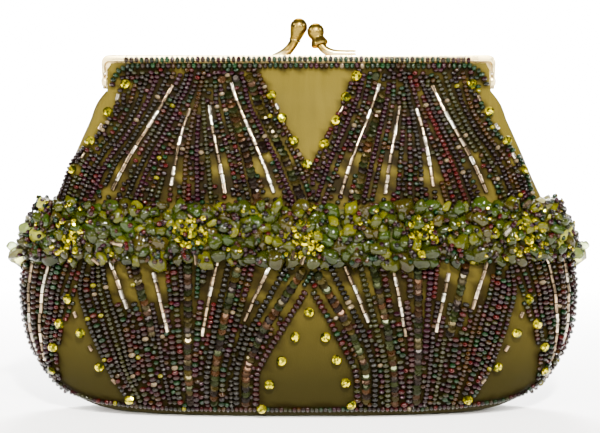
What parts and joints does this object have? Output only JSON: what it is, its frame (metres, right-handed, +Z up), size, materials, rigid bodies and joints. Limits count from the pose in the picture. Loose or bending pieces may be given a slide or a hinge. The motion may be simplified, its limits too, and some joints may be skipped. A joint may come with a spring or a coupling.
{
  "type": "beaded evening purse",
  "caption": "Small hollow satin purse with a gilt kiss-lock frame, a belt of glass chips, crystal rosettes and beaded fans, closed, standing on its flat base.",
  "frame": {"origin": "centre of the flat base on which the purse stands", "axes": "+Z up, +X along the frame to the right as seen from the front, front face towards -Y"},
  "size_m": [0.2376, 0.0582, 0.1652],
  "materials": {
    "satin": "olive-gold satin with a soft sheen",
    "gilt_metal": "polished pale gold",
    "chip_glass": "translucent olive green, tumbled",
    "crystal_glass": "faceted, foil-backed yellow-green",
    "iris_beads": "dark glass beads with a green and garnet lustre",
    "silver_beads": "silver-lined clear glass tubes",
    "sequins": "dark olive-bronze, shiny"
  },
  "bodies": {
    "root": {"chip_belt_back": "chip_glass", "chip_belt_front": "chip_glass", "crystal_left_window_inner_1": "crystal_glass", "crystal_left_window_inner_2": "crystal_glass", "crystal_left_window_inner_3": "crystal_glass", "crystal_left_window_inner_4": "crystal_glass", "crystal_left_window_outer_1": "crystal_glass", "crystal_left_window_outer_2": "crystal_glass", "crystal_left_window_outer_3": "crystal_glass", "crystal_low_window_left_1": "crystal_glass", "crystal_low_window_left_2": "crystal_glass", "crystal_low_window_left_3": "crystal_glass", "crystal_low_window_left_4": "crystal_glass", "crystal_low_window_left_5": "crystal_glass", "crystal_low_window_right_1": "crystal_glass", "crystal_low_window_right_2": "crystal_glass", "crystal_low_window_right_3": "crystal_glass", "crystal_low_window_right_4": "crystal_glass", "crystal_right_window_inner_1": "crystal_glass", "crystal_right_window_inner_2": "crystal_glass", "crystal_right_window_inner_3": "crystal_glass", "crystal_right_window_inner_4": "crystal_glass", "crystal_right_window_outer_1": "crystal_glass", "crystal_right_window_outer_2": "crystal_glass", "crystal_right_window_outer_3": "crystal_glass", "crystal_shoulder_left_1": "crystal_glass", "crystal_shoulder_left_2": "crystal_glass", "crystal_shoulder_left_3": "crystal_glass", "crystal_shoulder_left_4": "crystal_glass", "crystal_shoulder_right_1": "crystal_glass", "crystal_shoulder_right_2": "crystal_glass", "crystal_shoulder_right_3": "crystal_glass", "crystal_shoulder_right_4": "crystal_glass", "crystal_top_window_left_1": "crystal_glass", "crystal_top_window_left_2": "crystal_glass", "crystal_top_window_left_3": "crystal_glass", "crystal_top_window_left_4": "crystal_glass", "crystal_top_window_right_1": "crystal_glass", "crystal_top_window_right_2": "crystal_glass", "crystal_top_window_right_3": "crystal_glass", "crystal_top_window_right_4": "crystal_glass", "frame_back": "gilt_metal", "frame_front": "gilt_metal", "hinge_rivet_left": "gilt_metal", "hinge_rivet_right": "gilt_metal", "rosette_1": "crystal_glass", "rosette_2": "crystal_glass", "rosette_3": "crystal_glass", "rosette_4": "crystal_glass", "rosette_5": "crystal_glass", "satin_bag": "satin"}
  },
  "joints": []
}
